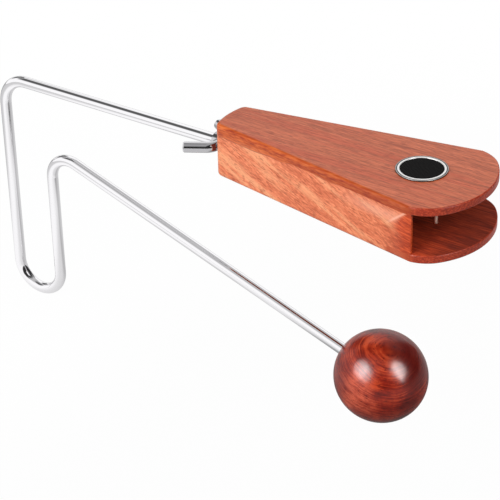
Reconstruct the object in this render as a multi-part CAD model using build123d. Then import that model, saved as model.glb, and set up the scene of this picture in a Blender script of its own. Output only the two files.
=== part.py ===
from build123d import *
import os
from math import cos, radians, sin, sqrt, tan

# Vibraslap: a bent steel bar with a wooden ball on one end and a tapered wooden sound box on the other.
# Millimetres. Origin in the middle of the hand grip, between the bar's two upright legs.
# +X runs from the grip to the mouth of the sound box, +Z is up, and y = 0 is the plane of symmetry.

# Bar
rod_diameter = 6.35
grip_spacing = 30.6        # between the centrelines of the two legs
grip_drop = 41.1           # from the origin down to the centre of the U-bend
axis_height = 77.4         # from the origin up to the straight run that carries the sound box
ball_leg_rise = 40.9       # from the origin up to the corner that starts the run to the ball
box_bend_radius = 16.0     # centreline radius of the corner that starts the run to the box
ball_bend_radius = 13.3    # centreline radius of the corner that starts the run to the ball
ball_run = 231.5           # from that corner to the middle of the ball
ball_slope = 18.8          # degrees below level
rod_end_chamfer = 0.8

# Ball, a little longer along its turning axis than across it
ball_length = 50.6
ball_diameter = 49.4
ball_hole_depth = 30.0
ball_hole_chamfer = 0.5

# Sound box
run_to_box = 141.0         # from the origin to the flat rear face between the boards
box_length = 152.3         # rear face to the front of the lips
box_height = 30.3
box_rise = 2.3             # middle of the box above the bar's axis
rear_width = 25.3
side_flare = 10.05         # degrees that each side opens from the axis
front_radius = 43.5        # plan radius of the bowed lips
corner_radius = 20.0       # plan radius where the lips turn into the sides
rear_corner_radius = 4.3
rear_bow = 2.0             # middle of both boards' rear edge behind its two corners
board_thickness = 4.4
side_thickness = 2.5
side_length = 130.0        # where the blunt front end of each side stands, from the rear face
roundover = 2.0            # on the outer long edges and the rear edge of both boards
lip_ease = 0.7             # small rounding along both edges of each lip
rear_block_depth = 20.0

# Clamp at the rear of the box
washer_diameter = 15.9
washer_thickness = 1.6
boss_base_diameter = 10.8
boss_top_diameter = 9.8
boss_height = 7.6
wing_diameter = 5.8
wing_span = 31.8           # between the middles of the two wing tips
wing_reach = 17.5          # from the washer back to the middle of a wing tip
wing_splay = 30.6          # degrees that each wing leans out from the axis
wing_height = 4.0          # middle of the cross bar above the washer
wing_bend = 6.0            # centreline radius where a wing leaves the cross bar
wing_end_chamfer = 0.7
wing_blend = 0.9           # rounding where the cross bar meets the boss
nut_across_flats = 11.1
nut_height = 5.6
lock_washer_diameter = 12.3
lock_washer_thickness = 1.6
lock_washer_slit = 0.9
rod_end_stand = 2.6        # bar standing out past the inner nut

# Rattle
plate_thickness = 1.2
plate_width = 26.0
plate_length = 115.2       # flange face to front end
plate_corner = 5.0
plate_bend = 0.6           # inner radius of the bend
flange_drop = 8.0          # flange below the bar's axis
rivet_count = 4            # in each of the two rows
rivet_pitch = 22.0
rivet_row_spacing = 16.4
rivet_front_margin = 6.8   # front rivets back from the plate's front end
rivet_diameter = 2.2
rivet_length = 12.3        # under the head
rivet_head_diameter = 4.8
rivet_head_height = 1.5
rivet_end_chamfer = 0.3

# Badge
badge_diameter = 26.2
badge_rim_width = 0.5      # narrow outer rim
badge_groove_width = 0.5   # between that rim and the wide inner band
badge_band_width = 1.1
badge_ring_height = 0.7
badge_groove_depth = 0.4
badge_round = 0.25         # on the inner and the outer edge of the ring
badge_disc_height = 0.45
badge_back = 37.6          # middle of the badge back from the front of the lips
badge_aside = 1.0          # middle of the badge to the left of the plane of symmetry

# Clearances, on the radius for round fits
swivel_fit = 0.08          # bar in the bore of the rear block
thread_fit = 0.05          # bar in a nut
glue_fit = 0.05            # bar in the ball
washer_fit = 0.35          # bar in a washer or in the plate's flange
rivet_play = 0.4           # rivet in its hole
nut_gap = 0.48             # corner of the inner nut to the plate above it
wall_share = 0.8           # most of a wall beside it that a rounding may take up

# Worked out from the sizes above
rod_radius = rod_diameter / 2
leg_x = grip_spacing / 2
box_middle = axis_height + box_rise
ceiling = box_middle + box_height / 2 - board_thickness
floor = box_middle - box_height / 2 + board_thickness
cavity_height = ceiling - floor
block_front = run_to_box + rear_block_depth
nut_back = block_front + plate_thickness + lock_washer_thickness
rod_end = nut_back + nut_height + rod_end_stand
ball_line = Vector(cos(radians(ball_slope)), 0, -sin(radians(ball_slope)))
ball_corner = Vector(leg_x, 0, ball_leg_rise)
ball_middle = ball_corner + ball_line * ball_run
side_spread = tan(radians(side_flare))
side_inset = side_thickness / cos(radians(side_flare))
box_top = box_middle + box_height / 2
nut_corner = nut_across_flats / 2 / cos(radians(30))
plate_under = axis_height + nut_corner + nut_gap
plate_top = plate_under + plate_thickness
badge_groove_radius = badge_diameter / 2 - badge_rim_width
badge_band_radius = badge_groove_radius - badge_groove_width
badge_disc_radius = badge_band_radius - badge_band_width


def along_x(x):
    """Plane on the bar's axis at x, facing +X, whose own x direction is +Y."""
    return Plane(origin=(x, 0, axis_height), x_dir=(0, 1, 0), z_dir=(1, 0, 0))


def ring(outer_radius, inner_radius, height):
    """Flat ring standing on its own XY plane."""
    return extrude(Circle(outer_radius) - Circle(inner_radius), height)


def make_handle_rod():
    u_left = Vector(-leg_x, 0, -grip_drop)
    u_right = Vector(leg_x, 0, -grip_drop)
    u_bottom = Vector(0, 0, -grip_drop - leg_x)
    corner = Vector(-leg_x, 0, axis_height)
    tip = ball_middle + ball_line * (ball_hole_depth - ball_length / 2)
    box_run = FilletPolyline((rod_end, 0, axis_height), corner, u_left, radius=box_bend_radius)
    u_bend = ThreePointArc(u_left, u_bottom, u_right)
    ball_path = FilletPolyline(u_right, ball_corner, tip, radius=ball_bend_radius)
    path = Wire(box_run.edges() + u_bend.edges() + ball_path.edges())
    section = Plane(origin=(rod_end, 0, axis_height), z_dir=(-1, 0, 0)) * Circle(rod_radius)
    rod = sweep(section, path=path)
    threaded_end = rod.faces().filter_by(GeomType.PLANE).sort_by(Axis.Z)[-1]
    return chamfer(threaded_end.edges(), rod_end_chamfer)


def make_strike_ball():
    half = Pos(ball_diameter / 2, 0) * Rectangle(ball_diameter, ball_length)
    profile = Ellipse(ball_diameter / 2, ball_length / 2) & half
    ball = revolve(Plane.XZ * profile, Axis.Z)
    hole_radius = rod_radius + glue_fit
    hole = Pos(0, 0, -ball_length / 2) * Cylinder(
        hole_radius, ball_hole_depth, align=(Align.CENTER, Align.CENTER, Align.MIN)
    )
    mouth_radius = hole_radius + ball_hole_chamfer
    cap = ball_length / 2 * (1 - sqrt(1 - (2 * mouth_radius / ball_diameter) ** 2))
    mouth = Pos(0, 0, -ball_length / 2) * Cone(
        mouth_radius + cap,
        hole_radius,
        ball_hole_chamfer + cap,
        align=(Align.CENTER, Align.CENTER, Align.MIN),
    )
    return Plane(origin=ball_middle, x_dir=(0, 1, 0), z_dir=ball_line) * (ball - hole - mouth)


def wedge(length, inset=0):
    """Plan between the two flared sides, from the rear face forward, each drawn in by inset across the box."""
    rear = rear_width / 2 - inset
    wide = rear + length * side_spread
    return make_face(Polyline((0, -rear), (length, -wide), (length, wide), (0, rear), close=True))


def bowed_wedge(length):
    """The same plan with its rear edge bowed out."""
    rear = rear_width / 2
    bow = ThreePointArc((0, rear), (-rear_bow, 0), (0, -rear))
    return wedge(length) + make_face(bow.edges() + Line((0, -rear), (0, rear)).edges())


def box_outline():
    """Plan of the sound box: straight flared sides, both ends bowed, all four corners rounded."""
    bow_middle = box_length - front_radius
    bow = Pos(bow_middle, 0) * Circle(front_radius)
    behind_bow = Pos(bow_middle / 2, 0) * Rectangle(bow_middle + 2 * rear_bow, 2 * front_radius)
    sharp = bowed_wedge(box_length) & (bow + behind_bow)
    corners = sharp.vertices().sort_by(Axis.X)
    rounded = fillet(corners[2:], corner_radius)
    return fillet(rounded.vertices().sort_by(Axis.X)[:2], rear_corner_radius)


def plan_strip(start, end):
    """Plan rectangle across the whole box between two distances from the rear face."""
    return Pos((start + end) / 2, 0) * Rectangle(end - start, 2 * box_length)


def make_board():
    """Board with its inner face on z = 0 and its rounded-over outer face up."""
    slab = extrude(box_outline(), board_thickness)
    eased = fillet(slab.faces().sort_by(Axis.Z)[-1].edges(), lip_ease)
    lip_eased = fillet(eased.faces().sort_by(Axis.Z)[0].edges(), lip_ease)
    lips = extrude(plan_strip(side_length, 2 * box_length), board_thickness)
    shaped = (eased - lips) + (lip_eased & lips)
    blank_plan = bowed_wedge(2 * box_length)
    blank_plan = fillet(blank_plan.vertices().sort_by(Axis.X)[:2], rear_corner_radius)
    blank = extrude(blank_plan, board_thickness)
    outer_edges = blank.faces().sort_by(Axis.Z)[-1].edges()
    edge_round = min(roundover, wall_share * board_thickness, wall_share * rear_corner_radius)
    blank = fillet(outer_edges.sort_by(Axis.X)[:-1], edge_round)
    return shaped & blank


def make_side(sign):
    """Side strip between the boards; sign is +1 for the left one and -1 for the right one."""
    strip = (box_outline() - wedge(box_length, side_inset)) & plan_strip(0, side_length)
    half = Pos(box_length / 2, sign * box_length / 2) * Rectangle(box_length, box_length)
    return Pos(run_to_box, 0, floor) * extrude(strip & half, cavity_height)


def make_rear_block():
    plan = box_outline() & wedge(rear_block_depth, side_inset)
    block = Pos(run_to_box, 0, floor) * extrude(plan, cavity_height)
    bore = along_x(run_to_box) * extrude(Circle(rod_radius + swivel_fit), rear_block_depth)
    return block - bore


def make_wing_nut():
    """Boss with a round bar through it whose two ends are bent back into wings."""
    wing_lean = tan(radians(wing_splay))
    tip_out = wing_span / 2
    bend_out = tip_out - (wing_reach - wing_height) * wing_lean
    path = FilletPolyline(
        (-tip_out, 0, wing_reach),
        (-bend_out, 0, wing_height),
        (bend_out, 0, wing_height),
        (tip_out, 0, wing_reach),
        radius=wing_bend,
    )
    start = Plane(origin=path @ 0, z_dir=path % 0)
    bar = sweep(start * Circle(wing_diameter / 2), path=path)
    bar = chamfer(bar.faces().filter_by(GeomType.PLANE).edges(), wing_end_chamfer)
    boss = Cone(
        boss_base_diameter / 2,
        boss_top_diameter / 2,
        boss_height,
        align=(Align.CENTER, Align.CENTER, Align.MIN),
    )
    body = boss + bar
    wall_below = wing_height - wing_diameter / 2
    wall_above = boss_height - wing_height - wing_diameter / 2
    blend = min(wing_blend, wall_share * wall_below, wall_share * wall_above)
    body = fillet(body.edges().filter_by(GeomType.BSPLINE), blend)
    body -= Cylinder(rod_radius + thread_fit, 2 * boss_height, align=(Align.CENTER,) * 3)
    return Plane(
        origin=(run_to_box - washer_thickness, 0, axis_height), x_dir=(0, 1, 0), z_dir=(-1, 0, 0)
    ) * body


def make_clamp_washer():
    washer = ring(washer_diameter / 2, rod_radius + washer_fit, washer_thickness)
    return along_x(run_to_box - washer_thickness) * washer


def make_lock_washer():
    washer = ring(lock_washer_diameter / 2, rod_radius + washer_fit, lock_washer_thickness)
    slit = Pos(0, -lock_washer_diameter / 4) * Box(
        lock_washer_slit, lock_washer_diameter / 2, 3 * lock_washer_thickness
    )
    return along_x(block_front + plate_thickness) * (washer - slit)


def make_inner_nut():
    chamfer_width = nut_corner - nut_across_flats / 2
    chamfer_depth = chamfer_width * tan(radians(30))
    hexagon = extrude(RegularPolygon(nut_across_flats / 2, 6, major_radius=False), nut_height)
    cap = Cylinder(nut_corner, nut_height, align=(Align.CENTER, Align.CENTER, Align.MIN))
    cap = chamfer(cap.faces().sort_by(Axis.Z)[-1].edges(), length=chamfer_depth, length2=chamfer_width)
    nut = (hexagon & cap) - Cylinder(rod_radius + thread_fit, 3 * nut_height)
    return along_x(nut_back) * nut


def rivet_places():
    """Plan places of the rivets, front pair first."""
    front = block_front + plate_length - rivet_front_margin
    places = []
    for row in range(rivet_count):
        for side in (-1, 1):
            places.append((front - row * rivet_pitch, side * rivet_row_spacing / 2))
    return places


def make_rattle_plate():
    flange_foot = axis_height - flange_drop
    outer_bend = plate_bend + plate_thickness
    outer = FilletPolyline(
        (block_front, 0, flange_foot),
        (block_front, 0, plate_top),
        (block_front + plate_length, 0, plate_top),
        radius=outer_bend,
    )
    inner = FilletPolyline(
        (block_front + plate_length, 0, plate_under),
        (block_front + plate_thickness, 0, plate_under),
        (block_front + plate_thickness, 0, flange_foot),
        radius=plate_bend,
    )
    front_end = Line(outer @ 1, inner @ 0)
    foot_end = Line(inner @ 1, outer @ 0)
    profile = make_face(outer.edges() + front_end.edges() + inner.edges() + foot_end.edges())
    plate = extrude(profile, plate_width / 2, both=True)
    front_edges = plate.edges().filter_by(Axis.Z).group_by(Axis.X)[-1]
    plate = fillet(front_edges, plate_corner)
    foot_edges = plate.edges().filter_by(Axis.X).group_by(Axis.Z)[0]
    plate = fillet(foot_edges, plate_corner)
    plate -= along_x(block_front) * extrude(Circle(rod_radius + washer_fit), plate_thickness)
    for x, y in rivet_places():
        hole = Cylinder(rivet_diameter / 2 + rivet_play, 3 * plate_thickness)
        plate -= Pos(x, y, plate_top) * hole
    return plate


def make_rivet():
    """Round-head rivet hanging from z = 0, with its domed head above."""
    head_radius = rivet_head_diameter / 2
    dome_radius = (head_radius**2 + rivet_head_height**2) / (2 * rivet_head_height)
    dome = Pos(0, 0, rivet_head_height - dome_radius) * Sphere(dome_radius)
    head = dome & Cylinder(head_radius, rivet_head_height, align=(Align.CENTER, Align.CENTER, Align.MIN))
    shank = Cylinder(rivet_diameter / 2, rivet_length, align=(Align.CENTER, Align.CENTER, Align.MAX))
    shank = chamfer(shank.faces().sort_by(Axis.Z)[0].edges(), rivet_end_chamfer)
    return head + shank


def make_badge_disc():
    return badge_seat() * extrude(Circle(badge_disc_radius), badge_disc_height)


def make_badge_ring():
    body = ring(badge_diameter / 2, badge_disc_radius, badge_ring_height)
    edge_round = min(badge_round, wall_share * badge_rim_width, wall_share * badge_ring_height)
    body = fillet(body.faces().sort_by(Axis.Z)[-1].edges(), edge_round)
    groove = ring(badge_groove_radius, badge_band_radius, badge_groove_depth)
    return badge_seat() * (body - Pos(0, 0, badge_ring_height - badge_groove_depth) * groove)


def badge_seat():
    return Pos(run_to_box + box_length - badge_back, badge_aside, box_top)


board = make_board()
pieces = {
    "handle_rod": make_handle_rod(),
    "strike_ball": make_strike_ball(),
    "wing_nut": make_wing_nut(),
    "clamp_washer": make_clamp_washer(),
    "lock_washer": make_lock_washer(),
    "inner_nut": make_inner_nut(),
    "top_board": Pos(run_to_box, 0, ceiling) * board,
    "bottom_board": Pos(run_to_box, 0, floor) * mirror(board, about=Plane.XY),
    "left_side": make_side(1),
    "right_side": make_side(-1),
    "rear_block": make_rear_block(),
    "rattle_plate": make_rattle_plate(),
    "badge_disc": make_badge_disc(),
    "badge_ring": make_badge_ring(),
}
rivet = make_rivet()
for number, (x, y) in enumerate(rivet_places(), start=1):
    pieces[f"rattle_rivet_{number}"] = Pos(x, y, plate_top) * rivet

os.makedirs("parts", exist_ok=True)
for name, piece in pieces.items():
    export_step(piece, f"parts/{name}.step")
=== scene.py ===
import bpy
import math
from mathutils import Matrix, Vector


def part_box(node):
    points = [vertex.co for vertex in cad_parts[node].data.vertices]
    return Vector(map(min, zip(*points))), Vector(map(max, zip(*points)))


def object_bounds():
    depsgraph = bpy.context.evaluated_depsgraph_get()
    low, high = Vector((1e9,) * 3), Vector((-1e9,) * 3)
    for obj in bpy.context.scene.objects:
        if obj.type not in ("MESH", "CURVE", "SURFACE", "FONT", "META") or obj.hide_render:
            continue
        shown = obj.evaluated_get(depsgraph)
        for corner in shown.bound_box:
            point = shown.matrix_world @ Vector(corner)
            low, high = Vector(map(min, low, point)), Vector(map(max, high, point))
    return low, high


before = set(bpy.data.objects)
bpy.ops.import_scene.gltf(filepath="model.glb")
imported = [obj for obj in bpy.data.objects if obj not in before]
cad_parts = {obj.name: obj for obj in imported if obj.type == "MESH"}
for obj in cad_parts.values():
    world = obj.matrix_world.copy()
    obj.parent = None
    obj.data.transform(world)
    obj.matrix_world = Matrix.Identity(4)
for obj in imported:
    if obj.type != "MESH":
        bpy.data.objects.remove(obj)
cad_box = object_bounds()
mm = 0.001

# Camera, fitted to the photograph's straight edges, in metres and degrees; lens and sensor in millimetres
view_azimuth = 35.626
view_elevation = 30.275
view_roll = -1.477
view_target = Vector((0.209333, -0.080342, 0.074510))
view_distance = 0.950
near_clip = 0.01
lens_length = 143.35
sensor_width = 36.0

# Soft lamps left, right and behind, and two whose light only the ball's lacquer shows.
# Azimuth and elevation are in degrees, sizes in metres.
lamp_distance = 1.25
left_lamp = dict(azimuth=-14, elevation=27, width=0.84, height=0.94, watts=17)
right_lamp = dict(azimuth=87, elevation=28, width=0.26, height=1.15, watts=7.5)
back_lamp = dict(azimuth=172, elevation=6, width=1.00, height=0.50, watts=11, gloss=False)
left_glint = dict(azimuth=-31, elevation=31, width=0.92, height=0.92, watts=27, diffuse=False)
right_glint = dict(azimuth=91, elevation=33, width=0.75, height=0.95, watts=26, diffuse=False)
fill_level = 0.28  # light from all round on matt surfaces

# Pieces of the box, which the lamps light along with the rivets, the ball and the floor.
# The bar, the nuts, the washers and the rattle plate show the surroundings alone.
box_nodes = ("top_board", "bottom_board", "left_side", "right_side", "rear_block", "badge_disc", "badge_ring")

# Surroundings as gloss sees them, 0 for black and 1 for white: white on the left (-X), dark on the right (+X)
left_level = 1.0
right_level = 0.03
left_to_right = dict(start=0.02, end=0.20)
shift_behind = 0.15  # behind the object the dark side reaches further left

# Grey overhead, which ends on the right
ceiling_level = 0.50
ceiling_axis = (0.5, 0, 1)
ceiling_edge = dict(start=0.48, end=0.74)
ceiling_end = dict(start=0.18, end=0.42, low=1.0, high=0.0)

# Patches in these surroundings: direction of the middle, cosines where it fades in, and brightness
overhead_gap = dict(axis=(-0.503, -0.12, 0.856), start=0.86, end=0.97, level=0.10)
right_panel = dict(axis=(0.70, -0.20, 0.64), start=0.965, end=0.98, level=1.0)
corner_gap = dict(axis=(-0.815, 0.39, 0.43), start=0.93, end=0.985, level=0.10)

# Floor: its size, its own colour, which takes shadows and is darker under the box as painted shadow, and the
# share of plain white over that colour
floor_half = 4.0
floor_drop = 0.2 * mm  # gap below the object's lowest point
floor_under_handle = 0.86
floor_shadow_under_box = 0.18
floor_change = dict(start=0.0, end=0.14)
floor_centre = (0.15, 0)
floor_white = dict(start=0.2, end=0.5, low=0.985, high=1.0)  # by distance from the centre
floor_gloss = 0.9  # the same share where gloss reflects the floor

# How bright gloss sees the floor: white in front of the object, with painted shade on the other sides and
# painted shadow in two spots, below the ball and beside the grip
floor_shade_left = dict(start=-0.20, end=-0.05, low=0.62, high=1.0)
floor_shade_right = dict(start=0.05, end=0.17, low=1.0, high=0.85)
floor_shade_behind = dict(start=-0.015, end=0.03, low=1.0, high=0.64)
floor_shadow_below_ball = dict(start=0.03, end=0.11, low=0.30, high=1.0)
floor_shadow_beside_grip = dict(start=0.03, end=0.09, low=0.74, high=1.0)
beside_grip = (0.055, -0.005)

# Places on the object, from the frame
_, box_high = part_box("top_board")
box_top = box_high.z
corner_start = box_high.x - 38.3 * mm
badge_low, badge_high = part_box("badge_ring")
badge_middle = (badge_low + badge_high) / 2
badge_radius = (badge_high.x - badge_low.x) / 2
ball_low, ball_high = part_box("strike_ball")
ball_middle = (ball_low + ball_high) / 2

# Streaks of wood in three widths: how much each counts, its noise detail, and (length, width) in metres
streak_shares = (0.22, 0.33, 0.45)
streak_details = (2, 3, 2)
face_streaks = ((0.12, 0.0040), (0.025, 0.0011), (0.007, 0.0006))
side_streaks = ((0.05, 0.005), (0.010, 0.0013), (0.004, 0.0007))
edge_streaks = ((0.10, 0.004), (0.06, 0.0018), (0.03, 0.0008))

# Turns of the grain about X, Y and Z, in degrees
no_turn = (0, 0, 0)
side_tilt = (0, -15, 0)
figure_tilt = (0, -20, 0)

# Noise scales along X, Y and Z, per metre
warmth_scale = (7, 260, 260)
pore_scale = (190, 1200, 1200)
figure_scale = (13, 40, 150)
fleck_scale = (300, 900, 1500)
end_scale = (900, 900, 1400)
seam_scale = (28, 0, 0)

# Colours of the box, linear; a ramp gives the colours at three tones
face_ramp = ((0.39, (0.32, 0.075, 0.032)), (0.50, (0.54, 0.127, 0.049)), (0.61, (0.72, 0.184, 0.075)))
face_warm = (0.56, 0.080, 0.028)
face_pore = (0.25, 0.042, 0.016)
side_ramp = ((0.37, (0.44, 0.092, 0.036)), (0.50, (0.71, 0.184, 0.077)), (0.63, (0.88, 0.290, 0.135)))
side_pale = (0.88, 0.385, 0.190)
side_dark = (0.52, 0.095, 0.032)
side_fleck = (0.33, 0.060, 0.020)
edge_ramp = ((0.38, (0.27, 0.026, 0.004)), (0.50, (0.49, 0.080, 0.013)), (0.62, (0.66, 0.155, 0.034)))
edge_front = (0.26, 0.022, 0.003)
end_ramp = ((0.36, (0.22, 0.019, 0.006)), (0.50, (0.33, 0.032, 0.010)), (0.64, (0.46, 0.058, 0.021)))
raw_shaded_ramp = ((0.41, (0.19, 0.016, 0.003)), (0.50, (0.33, 0.030, 0.006)), (0.59, (0.50, 0.056, 0.013)))
seam_dark = (0.20, 0.030, 0.010)
# Front corner: painted shade on the sides and on the bottom board's edge, a painted sheen and a painted
# highlight line
corner_shade_ramp = ((0.40, (0.30, 0.030, 0.007)), (0.50, (0.48, 0.057, 0.013)), (0.60, (0.68, 0.105, 0.028)))
corner_shade_below = (0.41, 0.052, 0.012)
corner_painted_sheen = (0.86, 0.40, 0.27)
corner_highlight = (0.94, 0.50, 0.36)

# Brightness of the unfinished wood inside, which also holds painted shade inside the box; the bottom board
# has painted light deep in the box on the -Y side
raw_top_shade = 0.75
raw_bottom_shade = 0.66
raw_bottom_deep_light = 1.05
raw_side_shade = 2.0
raw_dullness = 0.5  # added to the roughness there

# Strip of the edge's colour on the sides, down to a seam that wanders and rises towards the front
seam_height = box_top - 6.4 * mm
seam_rise = 2.4 * mm
seam_wander_from = dict(start=0.165, end=0.190)
seam_front = dict(start=0.213, end=0.232, high=seam_rise)
seam_share = 0.8

# Front corner of the sides: a diagonal that rises to the front with painted shade ahead of it, its painted
# highlight line, and a painted sheen behind it
diagonal_foot = box_top - 15 * mm
diagonal_slope = 1.2  # length along X for each unit of height
diagonal_highlight_full = box_top - 9 * mm
painted_sheen_middle = box_top - 9 * mm
painted_sheen_half_width = 5.5 * mm
painted_sheen_share = 0.5

# Ball: growth rings round a pole, with noise scales along the pole and across it, per metre
ball_pole = Vector((0.296, -0.213, 0.931)).normalized()
ring_wander = 4 * mm
ring_scale = 1900
ring_spread = 60
ring_share = 0.4
ball_pore_scale = 2600
ball_pore_spread = 540
cloud_scale = (60, 60, 60)
cloud_turn = (20, 0, 70)
cloud_share = 0.6

# Patches of the ball: direction from its middle, distances that way where each fades in, and share
ball_eye = dict(axis=(0.153, -0.382, 0.911), start=19 * mm, end=24 * mm, share=0.5)
# Pale flank: painted sheen of the left lamp over the grain's tones
ball_flank_sheen = dict(axis=(-0.10, -0.99, -0.03), start=19 * mm, end=25 * mm, share=0.42)
# Left rim: painted shade
ball_painted_shade = dict(axis=(-0.62, -0.77, 0.10), start=20 * mm, end=25 * mm, share=0.55)
ball_heart = dict(axis=(0.703, 0.171, 0.690), start=16 * mm, end=23 * mm, share=0.8)
ball_ramp = ((0.39, (0.09, 0.004, 0.002)), (0.50, (0.25, 0.015, 0.005)), (0.61, (0.47, 0.052, 0.015)))
eye_ramp = ((0.42, (0.22, 0.015, 0.005)), (0.50, (0.42, 0.044, 0.013)), (0.58, (0.60, 0.085, 0.027)))
flank_sheen_ramp = ((0.42, (0.25, 0.022, 0.011)), (0.50, (0.50, 0.076, 0.038)), (0.58, (0.80, 0.180, 0.105)))
painted_shade_red = (0.12, 0.010, 0.009)
heart_red = (0.075, 0.003, 0.002)
ball_pore = (0.045, 0.004, 0.003)

# Marks on metal and badge, and their linear colours
brush_length = 12  # length of a brush mark in widths of it
scuff_scale = (300, 2500, 300)
scuff_turn = (0, 0, 35)
chrome_white = (0.965, 0.955, 0.975)
plating_grey = (0.64, 0.63, 0.65)
nickel = (0.90, 0.80, 0.68)
spring_grey = (0.22, 0.22, 0.24)
disc_black = (0.006, 0.0055, 0.0055)
ring_bright = (0.90, 0.89, 0.88)
ring_rim = (0.42, 0.41, 0.40)
# painted shade in the sunk groove of the ring
ring_pit_shade = (0.02, 0.02, 0.02)


class Nodes:
    """Short way to build the node tree of one material or of the world."""

    # Sockets of a colour mix
    share_in = 0
    first_in = 6
    second_in = 7
    mixed_out = 2

    def __init__(self, owner):
        owner.use_nodes = True
        self.tree = owner.node_tree
        self.shader = self.tree.nodes.get("Principled BSDF")

    def add(self, kind, inputs=None, **settings):
        node = self.tree.nodes.new("ShaderNode" + kind)
        for key, value in settings.items():
            setattr(node, key, value)
        for key, value in (inputs or {}).items():
            self.put(node.inputs[key], value)
        return node

    def put(self, socket, value):
        """Link a socket to another one, or set its own value."""
        if isinstance(value, bpy.types.NodeSocket):
            self.tree.links.new(value, socket)
        elif socket.type == "RGBA":
            socket.default_value = (*value, 1)
        else:
            socket.default_value = value

    def shade(self, **values):
        """Set or link the shader's own sockets; an underscore in a name stands for a blank."""
        for key, value in values.items():
            self.put(self.shader.inputs[key.replace("_", " ")], value)

    def place(self):
        """Position on the object, in metres of the shared frame."""
        return self.add("TexCoord").outputs["Object"]

    def normal(self):
        return self.add("TexCoord").outputs["Normal"]

    def rays(self):
        """Rays from the camera, and rays from gloss or glass."""
        path = self.add("LightPath").outputs
        mirrored = self.math("MAXIMUM", path["Is Glossy Ray"], path["Is Transmission Ray"])
        return path["Is Camera Ray"], mirrored

    def split(self, vector):
        return self.add("SeparateXYZ", {"Vector": vector}).outputs

    def join(self, x, y, z=0.0):
        return self.add("CombineXYZ", {0: x, 1: y, 2: z}).outputs[0]

    def stretch(self, vector, scale, turn=no_turn):
        """Vector turned by degrees and then scaled along each axis."""
        angles = tuple(math.radians(angle) for angle in turn)
        turned = self.add("Mapping", {"Vector": vector, "Rotation": angles})
        return self.add("Mapping", {"Vector": turned.outputs[0], "Scale": scale}).outputs[0]

    def noise(self, vector, detail, roughness=0.5):
        settings = {"Vector": vector, "Scale": 1.0, "Detail": detail, "Roughness": roughness}
        return self.add("TexNoise", settings).outputs["Fac"]

    def speckle(self, vector, scale, detail):
        """Noise of the same scale all ways."""
        return self.noise(self.stretch(vector, (scale, scale, scale)), detail)

    def along(self, vector, axis):
        """Distance along a unit axis."""
        return self.add("VectorMath", {0: vector, 1: tuple(axis)}, operation="DOT_PRODUCT").outputs["Value"]

    def distance(self, vector, point):
        return self.add("VectorMath", {0: vector, 1: point}, operation="DISTANCE").outputs["Value"]

    def math(self, operation, first, second=0.0):
        return self.add("Math", {0: first, 1: second}, operation=operation).outputs[0]

    def times(self, first, second):
        return self.math("MULTIPLY", first, second)

    def fade(self, value, start, end, low=0.0, high=1.0):
        """Smooth step from low at start to high at end."""
        sockets = {"Value": value, "From Min": start, "From Max": end, "To Min": low, "To Max": high}
        return self.add("MapRange", sockets, interpolation_type="SMOOTHSTEP").outputs["Result"]

    def line(self, value, middle, half_width):
        """One at middle, fading to nothing half_width away from it."""
        away = self.math("ABSOLUTE", self.math("SUBTRACT", value, middle))
        return self.fade(away, start=0.0, end=half_width, low=1.0, high=0.0)

    def ramp(self, value, stops):
        node = self.add("ValToRGB", {"Fac": value})
        points = node.color_ramp.elements
        while len(points) < len(stops):
            points.new(0.5)
        for point, (place, colour) in zip(points, stops):
            point.position = place
            point.color = (*colour, 1)
        return node.outputs["Color"]

    def mix(self, share, first, second):
        """Colour that is first where share is zero and second where it is one."""
        node = self.add("Mix", data_type="RGBA", blend_type="MIX")
        self.put(node.inputs[self.share_in], share)
        self.put(node.inputs[self.first_in], first)
        self.put(node.inputs[self.second_in], second)
        return node.outputs[self.mixed_out]

    def bump(self, height, distance, strength):
        settings = {"Height": height, "Distance": distance, "Strength": strength}
        return self.add("Bump", settings).outputs["Normal"]


def new_material(name):
    material = bpy.data.materials.new(name)
    return material, Nodes(material)


def grey(brightness):
    return (brightness, brightness, brightness)


def direction(azimuth, elevation):
    """Unit vector from the object; azimuth 0 is towards -Y and 90 towards +X."""
    turn = math.radians(azimuth)
    lift = math.radians(elevation)
    return Vector((math.sin(turn) * math.cos(lift), -math.cos(turn) * math.cos(lift), math.sin(lift)))


def make_camera():
    back = direction(view_azimuth, view_elevation)
    azimuth = math.radians(view_azimuth)
    roll = math.radians(view_roll)
    sideways = Vector((math.cos(azimuth), math.sin(azimuth), 0))
    upright = back.cross(sideways)
    right = sideways * math.cos(roll) + upright * math.sin(roll)
    up = back.cross(right)
    camera = bpy.data.objects.new("camera", bpy.data.cameras.new("camera"))
    camera.data.lens = lens_length
    camera.data.sensor_width = sensor_width
    camera.data.clip_start = near_clip
    turn = Matrix((right, up, back)).transposed().to_4x4()
    camera.matrix_world = Matrix.Translation(view_target + back * view_distance) @ turn
    bpy.context.scene.collection.objects.link(camera)
    bpy.context.scene.camera = camera


def make_lamp(name, lit, azimuth, elevation, width, height, watts, diffuse=True, gloss=True):
    """Soft lamp for the objects in lit, for their colour (diffuse), their gloss or both."""
    lamp = bpy.data.lights.new(name, "AREA")
    lamp.shape = "ELLIPSE"
    lamp.size = width
    lamp.size_y = height
    lamp.energy = watts
    holder = bpy.data.objects.new(name, lamp)
    away = direction(azimuth, elevation)
    holder.location = view_target + away * lamp_distance
    holder.rotation_euler = away.to_track_quat("Z", "Y").to_euler()
    bpy.context.scene.collection.objects.link(holder)
    group = bpy.data.collections.new(name)
    for piece in lit:
        group.objects.link(piece)
    holder.light_linking.receiver_collection = group
    holder.visible_diffuse = diffuse
    holder.visible_glossy = gloss


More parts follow.
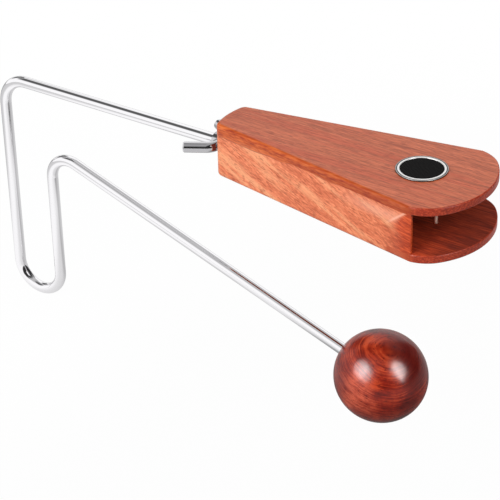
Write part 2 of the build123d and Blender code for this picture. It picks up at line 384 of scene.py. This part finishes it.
def make_world():
    """White for the camera, an even fill for matt surfaces, and the surroundings for gloss and glass."""
    world = bpy.data.worlds.new("studio")
    bpy.context.scene.world = world
    nodes = Nodes(world)
    toward = nodes.add("TexCoord").outputs["Generated"]
    x, y, _ = nodes.split(toward)
    behind = nodes.times(nodes.math("MAXIMUM", y, 0.0), shift_behind)
    rightward = nodes.math("ADD", x, behind)
    room = nodes.mix(nodes.fade(rightward, **left_to_right), grey(left_level), grey(right_level))
    overhead = nodes.along(toward, Vector(ceiling_axis).normalized())
    ceiling = nodes.times(nodes.fade(overhead, **ceiling_edge), nodes.fade(x, **ceiling_end))
    room = nodes.mix(ceiling, room, grey(ceiling_level))
    for patch in (overhead_gap, right_panel, corner_gap):
        near = nodes.along(toward, Vector(patch["axis"]).normalized())
        share = nodes.fade(near, patch["start"], patch["end"])
        room = nodes.mix(share, room, grey(patch["level"]))
    camera_ray, mirrored = nodes.rays()
    lit = nodes.mix(mirrored, grey(fill_level), room)
    colour = nodes.mix(camera_ray, lit, grey(1))
    nodes.put(nodes.tree.nodes["Background"].inputs["Color"], colour)


def make_floor():
    """White floor for the camera, with a faint shadow, and greyer stretches of painted shade and shadow for
    gloss.
    """
    height = cad_box[0][2] - floor_drop
    near = -floor_half
    far = floor_half
    mesh = bpy.data.meshes.new("floor")
    corners = [(near, near, height), (far, near, height), (far, far, height), (near, far, height)]
    mesh.from_pydata(corners, [], [(0, 1, 2, 3)])
    floor = bpy.data.objects.new("floor", mesh)
    bpy.context.scene.collection.objects.link(floor)
    material, nodes = new_material("floor_white")
    place = nodes.place()
    x, y, _ = nodes.split(place)
    # painted shade and shadow on the floor, which only gloss sees
    shine = nodes.times(nodes.fade(x, **floor_shade_left), nodes.fade(x, **floor_shade_right))
    shine = nodes.times(shine, nodes.fade(y, **floor_shade_behind))
    from_ball = nodes.distance(place, (ball_middle.x, ball_middle.y, height))
    shine = nodes.times(shine, nodes.fade(from_ball, **floor_shadow_below_ball))
    from_grip = nodes.distance(place, (*beside_grip, height))
    shine = nodes.times(shine, nodes.fade(from_grip, **floor_shadow_beside_grip))
    # painted shadow: the floor's own colour is darker under the box
    own_colour_and_shadow = nodes.mix(nodes.fade(x, **floor_change), grey(floor_under_handle), grey(floor_shadow_under_box))
    nodes.shade(Base_Color=own_colour_and_shadow, Roughness=0.9, Specular_IOR_Level=0.0)
    camera_ray, mirrored = nodes.rays()
    strength = nodes.math("MAXIMUM", camera_ray, shine)
    glow = nodes.add("Emission", {"Color": grey(1), "Strength": strength})
    from_centre = nodes.distance(place, (*floor_centre, height))
    share = nodes.times(camera_ray, nodes.fade(from_centre, **floor_white))
    share = nodes.math("MAXIMUM", share, nodes.times(mirrored, floor_gloss))
    both = nodes.add("MixShader", {0: share, 1: nodes.shader.outputs[0], 2: glow.outputs[0]})
    output = nodes.tree.nodes["Material Output"]
    nodes.put(output.inputs["Surface"], both.outputs[0])
    mesh.materials.append(material)
    return floor


def chrome():
    """Bright plating with the finest of marks."""
    material, nodes = new_material("bright_chrome")
    place = nodes.place()
    marks = nodes.speckle(place, scale=900, detail=3)
    haze = nodes.speckle(place, scale=60, detail=2)
    nodes.shade(Base_Color=chrome_white, Metallic=1.0)
    nodes.shade(Roughness=nodes.fade(haze, start=0.3, end=0.7, low=0.04, high=0.07))
    nodes.shade(Normal=nodes.bump(marks, distance=0.002 * mm, strength=0.2))
    return material


def plated():
    """Duller plating of nuts and washers."""
    material, nodes = new_material("plated_steel")
    place = nodes.place()
    marks = nodes.speckle(place, scale=700, detail=3)
    haze = nodes.speckle(place, scale=120, detail=2)
    nodes.shade(Base_Color=plating_grey, Metallic=1.0)
    nodes.shade(Roughness=nodes.fade(haze, start=0.3, end=0.7, low=0.06, high=0.10))
    nodes.shade(Normal=nodes.bump(marks, distance=0.01 * mm, strength=0.4))
    return material


def brushed_metal(name, colour, smoothest, roughest, scale):
    """Metal with a brushed haze along X."""
    material, nodes = new_material(name)
    brushed = nodes.noise(nodes.stretch(nodes.place(), (scale / brush_length, scale, scale)), detail=3)
    roughness = nodes.fade(brushed, start=0.3, end=0.7, low=smoothest, high=roughest)
    nodes.shade(Base_Color=colour, Metallic=1.0, Roughness=roughness)
    nodes.shade(Normal=nodes.bump(brushed, distance=0.02 * mm, strength=0.4))
    return material


def grain_tone(nodes, place, turn, sizes):
    """Streaks along X in three widths; sizes are their (length, width) in metres, widest first."""
    tone = None
    for (length, width), share, detail in zip(sizes, streak_shares, streak_details):
        streaks = nodes.noise(nodes.stretch(place, (1 / length, 1 / width, 1 / width), turn), detail)
        part = nodes.times(streaks, share)
        tone = part if tone is None else nodes.math("ADD", tone, part)
    return tone


def face_grain(nodes, place):
    """Fine straight streaks of the broad faces: tone and colour."""
    tone = grain_tone(nodes, place, no_turn, face_streaks)
    colour = nodes.ramp(tone, face_ramp)
    warmth = nodes.noise(nodes.stretch(place, warmth_scale), detail=2)
    colour = nodes.mix(nodes.fade(warmth, start=0.45, end=0.68, high=0.5), colour, face_warm)
    pores = nodes.noise(nodes.stretch(place, pore_scale), detail=1)
    colour = nodes.mix(nodes.fade(pores, start=0.56, end=0.70, high=0.55), colour, face_pore)
    return tone, colour


def side_grain(nodes, place):
    """Tilted grain of the sides, with pale diagonal figure and short dark flecks: tone and colour."""
    tone = grain_tone(nodes, place, side_tilt, side_streaks)
    colour = nodes.ramp(tone, side_ramp)
    figure = nodes.noise(nodes.stretch(place, figure_scale, figure_tilt), detail=3, roughness=0.55)
    colour = nodes.mix(nodes.fade(figure, start=0.50, end=0.66, high=0.70), colour, side_pale)
    colour = nodes.mix(nodes.fade(figure, start=0.48, end=0.34, high=0.40), colour, side_dark)
    flecks = nodes.noise(nodes.stretch(place, fleck_scale, side_tilt), detail=1)
    colour = nodes.mix(nodes.fade(flecks, start=0.57, end=0.70, high=0.55), colour, side_fleck)
    return tone, colour


def edge_grain(nodes, place):
    """Orange streaks along the edge under the top face, darker towards the front."""
    colour = nodes.ramp(grain_tone(nodes, place, no_turn, edge_streaks), edge_ramp)
    forward = nodes.fade(nodes.split(place)["X"], start=0.17, end=0.26, high=0.50)
    return nodes.mix(forward, colour, edge_front)


def end_grain(nodes, place):
    """Speckled deep red of the cut ends."""
    return nodes.ramp(nodes.noise(nodes.stretch(place, end_scale), detail=3), end_ramp)


def front_share(nodes, facing):
    """One on the cut ends at the front, which face along X."""
    return nodes.fade(facing["X"], start=-0.10, end=0.35)


def raw_shaded_wood(nodes, tone, brightness):
    """Unfinished dark wood inside the box, darkened further as painted shade."""
    stops = []
    for place, colour in raw_shaded_ramp:
        stops.append((place, tuple(part * brightness for part in colour)))
    return nodes.ramp(tone, stops)


def finish_wood(nodes, colour, tone, raw_and_shaded):
    """Satin finish, left off where raw is one."""
    nodes.shade(Base_Color=colour, Specular_IOR_Level=0.35)
    satin = nodes.fade(tone, start=0.35, end=0.65, low=0.40, high=0.30)
    nodes.shade(Roughness=nodes.math("ADD", satin, nodes.times(raw_and_shaded, raw_dullness)))
    nodes.shade(Normal=nodes.bump(tone, distance=0.05 * mm, strength=0.35))


def top_board_wood():
    """Straight grain on top, an orange edge, red ends, dark underneath with painted shade."""
    material, nodes = new_material("top_board_wood")
    place = nodes.place()
    facing = nodes.split(nodes.normal())
    tone, colour = face_grain(nodes, place)
    edge_share = nodes.fade(facing["Z"], start=0.90, end=0.985, low=1.0, high=0.0)
    colour = nodes.mix(edge_share, colour, edge_grain(nodes, place))
    colour = nodes.mix(front_share(nodes, facing), colour, end_grain(nodes, place))
    # painted shade: the unfinished wood underneath is darkened as the shaded inside of the box
    raw_and_shaded = nodes.fade(facing["Z"], start=-0.60, end=-0.90)
    colour = nodes.mix(raw_and_shaded, colour, raw_shaded_wood(nodes, tone, raw_top_shade))
    finish_wood(nodes, colour, tone, raw_and_shaded)
    return material


def bottom_board_wood():
    """The sides' figure on its edge, straight grain below, red ends, dark on top with painted shade and a
    patch of painted light deep in the box.
    """
    material, nodes = new_material("bottom_board_wood")
    place = nodes.place()
    x, y, _ = nodes.split(place)
    facing = nodes.split(nodes.normal())
    tone, below = face_grain(nodes, place)
    _, colour = side_grain(nodes, place)
    colour = nodes.mix(nodes.fade(facing["Z"], start=-0.75, end=-0.95), colour, below)
    # painted shade on the bottom board's edge at the front corner
    corner = nodes.fade(x, start=corner_start, end=corner_start + 3 * mm, high=0.8)
    upright = nodes.fade(nodes.math("ABSOLUTE", facing["Z"]), start=0.8, end=0.95, low=1.0, high=0.0)
    colour = nodes.mix(nodes.times(corner, upright), colour, corner_shade_below)
    colour = nodes.mix(front_share(nodes, facing), colour, end_grain(nodes, place))
    # painted shade on the unfinished wood inside, with painted light deep in the box on the -Y side
    raw_and_shaded = nodes.fade(facing["Z"], start=0.60, end=0.90)
    deep = nodes.times(nodes.fade(x, start=0.288, end=0.272), nodes.fade(y, start=4 * mm, end=-10 * mm))
    inside = nodes.mix(deep, raw_shaded_wood(nodes, tone, raw_bottom_shade), raw_shaded_wood(nodes, tone, raw_bottom_deep_light))
    colour = nodes.mix(raw_and_shaded, colour, inside)
    finish_wood(nodes, colour, tone, raw_and_shaded)
    return material


def edge_strip(nodes, place, colour):
    """The edge's orange on the sides below the top board, down to a broken dark seam."""
    x, _, z = nodes.split(place)
    drift = nodes.noise(nodes.stretch(place, seam_scale), detail=1)
    wander = nodes.fade(drift, start=0.36, end=0.60, high=seam_rise)
    lift = nodes.times(wander, nodes.fade(x, **seam_wander_from))
    lift = nodes.math("MAXIMUM", lift, nodes.fade(x, **seam_front))
    above = nodes.math("SUBTRACT", z, nodes.math("ADD", lift, seam_height))
    strip = nodes.fade(above, start=-0.2 * mm, end=0.5 * mm, high=0.85)
    colour = nodes.mix(strip, colour, edge_grain(nodes, place))
    broken = nodes.fade(nodes.speckle(place, scale=40, detail=2), start=0.40, end=0.58)
    seam = nodes.times(nodes.line(above, middle=0.0, half_width=0.35 * mm), broken)
    return nodes.mix(nodes.times(seam, seam_share), colour, seam_dark)


def front_corner(nodes, place, tone, colour):
    """Front corner of the sides in orange as painted shade, a painted highlight line on its diagonal edge,
    and a painted sheen behind that.
    """
    x, _, z = nodes.split(place)
    rise = nodes.times(nodes.math("SUBTRACT", z, diagonal_foot), diagonal_slope)
    diagonal = nodes.math("ADD", nodes.math("MAXIMUM", rise, 0.0), corner_start)
    ahead = nodes.math("SUBTRACT", x, diagonal)
    softness = nodes.fade(z, start=box_top - 20 * mm, end=box_top - 7 * mm, low=14 * mm, high=2.5 * mm)
    # painted sheen of the flat side behind the corner
    toward_front = nodes.fade(x, start=corner_start - 36 * mm, end=corner_start - 4 * mm)
    sheen = nodes.times(nodes.line(z, painted_sheen_middle, painted_sheen_half_width), toward_front)
    colour = nodes.mix(nodes.times(sheen, painted_sheen_share), colour, corner_painted_sheen)
    # painted shade on the corner ahead of the diagonal
    corner = nodes.fade(ahead, start=-1.0 * mm, end=softness)
    colour = nodes.mix(corner, colour, nodes.ramp(tone, corner_shade_ramp))
    # painted highlight along the diagonal edge
    line = nodes.line(ahead, middle=-0.4 * mm, half_width=1.5 * mm)
    line = nodes.times(line, nodes.fade(z, start=diagonal_foot, end=diagonal_highlight_full, high=0.6))
    return nodes.mix(line, colour, corner_highlight)


def side_wood():
    """Figured sides and rear block: orange strip, front corner with painted shade and painted highlights, red
    at the rear, dark inside with painted shade.
    """
    material, nodes = new_material("side_wood")
    place = nodes.place()
    facing = nodes.split(nodes.normal())
    tone, colour = side_grain(nodes, place)
    colour = edge_strip(nodes, place, colour)
    colour = front_corner(nodes, place, tone, colour)
    rear_share = nodes.fade(facing["X"], start=-0.6, end=-0.9)
    colour = nodes.mix(rear_share, colour, end_grain(nodes, place))
    outward = nodes.times(nodes.split(place)["Y"], facing["Y"])
    # painted shade on the unfinished wood inside the box
    raw_and_shaded = nodes.fade(outward, start=-0.1 * mm, end=-2.0 * mm)
    colour = nodes.mix(raw_and_shaded, colour, raw_shaded_wood(nodes, tone, raw_side_shade))
    finish_wood(nodes, colour, tone, raw_and_shaded)
    return material


def ball_patch(nodes, place, first, second, axis, start, end, share):
    """First colour of the ball, with some of the second round the point that lies towards axis."""
    axis = Vector(axis).normalized()
    middle = axis.dot(ball_middle)
    near = nodes.fade(nodes.along(place, axis), start=middle + start, end=middle + end, high=share)
    return nodes.mix(near, first, second)


def ball_wood():
    """Turned ball under clear lacquer: growth rings round one pole, with pale and dark patches, among them a
    painted sheen on the lower flank and painted shade on the left rim.
    """
    material, nodes = new_material("lacquered_ball")
    place = nodes.place()
    beside = ball_pole.orthogonal().normalized()
    third = ball_pole.cross(beside)
    wander = nodes.times(nodes.speckle(place, scale=45, detail=2), ring_wander)
    depth = nodes.math("ADD", nodes.along(place, ball_pole), wander)
    across = nodes.along(place, beside)
    around = nodes.along(place, third)

    def layers(scale, spread):
        """Position, scaled along the pole and spread across it."""
        return nodes.join(nodes.times(depth, scale), nodes.times(across, spread), nodes.times(around, spread))

    rings = nodes.noise(layers(ring_scale, ring_spread), detail=2)
    pores = nodes.noise(layers(ball_pore_scale, ball_pore_spread), detail=1)
    cloud = nodes.noise(nodes.stretch(place, cloud_scale, cloud_turn), detail=4, roughness=0.6)
    tone = nodes.math("ADD", nodes.times(rings, ring_share), nodes.times(cloud, cloud_share))
    colour = nodes.ramp(tone, ball_ramp)
    colour = ball_patch(nodes, place, colour, nodes.ramp(tone, eye_ramp), **ball_eye)
    # painted sheen on the lower flank
    colour = ball_patch(nodes, place, colour, nodes.ramp(tone, flank_sheen_ramp), **ball_flank_sheen)
    # painted shade on the left rim
    colour = ball_patch(nodes, place, colour, painted_shade_red, **ball_painted_shade)
    colour = ball_patch(nodes, place, colour, heart_red, **ball_heart)
    colour = nodes.mix(nodes.fade(pores, start=0.58, end=0.72, high=0.65), colour, ball_pore)
    nodes.shade(Base_Color=colour, Roughness=0.6, Specular_IOR_Level=0.0)
    nodes.shade(Coat_Weight=1.0, Coat_Roughness=0.23, Coat_IOR=1.4)
    relief = nodes.math("ADD", rings, pores)
    nodes.shade(Normal=nodes.bump(relief, distance=0.03 * mm, strength=0.35))
    return material


def badge_black():
    """Black disc with fine scuffs."""
    material, nodes = new_material("badge_black")
    scuffs = nodes.noise(nodes.stretch(nodes.place(), scuff_scale, scuff_turn), detail=3)
    nodes.shade(Base_Color=disc_black, Specular_IOR_Level=0.012)
    nodes.shade(Roughness=nodes.fade(scuffs, start=0.4, end=0.7, low=0.22, high=0.38))
    nodes.shade(Normal=nodes.bump(scuffs, distance=0.01 * mm, strength=0.2))
    return material


def badge_silver():
    """Bright ring with a duller rim, painted black as shade where it is sunk."""
    material, nodes = new_material("badge_silver")
    place = nodes.place()
    x, y, z = nodes.split(place)
    brushed = nodes.speckle(place, scale=1200, detail=2)
    from_middle = nodes.distance(nodes.join(x, y), (badge_middle.x, badge_middle.y, 0))
    rim = nodes.fade(from_middle, start=badge_radius - 0.8 * mm, end=badge_radius - 0.6 * mm)
    colour = nodes.mix(rim, ring_bright, ring_rim)
    top = badge_high.z
    # painted shade in the sunk groove
    pit_shade = nodes.fade(z, start=top - 0.30 * mm, end=top - 0.12 * mm, low=1.0, high=0.0)
    colour = nodes.mix(pit_shade, colour, ring_pit_shade)
    nodes.shade(Base_Color=colour, Metallic=0.85)
    nodes.shade(Roughness=nodes.fade(brushed, start=0.3, end=0.7, low=0.28, high=0.42))
    return material


hardware = plated()
side = side_wood()
rivet_nickel = brushed_metal("rivet_nickel", nickel, smoothest=0.35, roughest=0.50, scale=2500)
finishes = {
    "handle_rod": chrome(),
    "strike_ball": ball_wood(),
    "top_board": top_board_wood(),
    "bottom_board": bottom_board_wood(),
    "rattle_plate": brushed_metal("spring_steel", spring_grey, smoothest=0.30, roughest=0.45, scale=1800),
    "badge_disc": badge_black(),
    "badge_ring": badge_silver(),
}
for name in ("wing_nut", "clamp_washer", "lock_washer", "inner_nut"):
    finishes[name] = hardware
for name in ("left_side", "right_side", "rear_block"):
    finishes[name] = side
for name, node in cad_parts.items():
    node.data.materials.clear()
    node.data.materials.append(finishes.get(name, rivet_nickel))

make_camera()
floor = make_floor()
ball = [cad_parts["strike_ball"]]
box = [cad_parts[name] for name in box_nodes]
rivets = [node for name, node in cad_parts.items() if name.startswith("rattle_rivet")]
make_lamp("left_lamp", box + rivets + [floor] + ball, **left_lamp)
make_lamp("right_lamp", box + rivets + [floor] + ball, **right_lamp)
make_lamp("back_lamp", box + rivets + ball, **back_lamp)
make_lamp("left_glint", ball, **left_glint)
make_lamp("right_glint", ball, **right_glint)
make_world()
bpy.context.scene.view_settings.view_transform = "Standard"
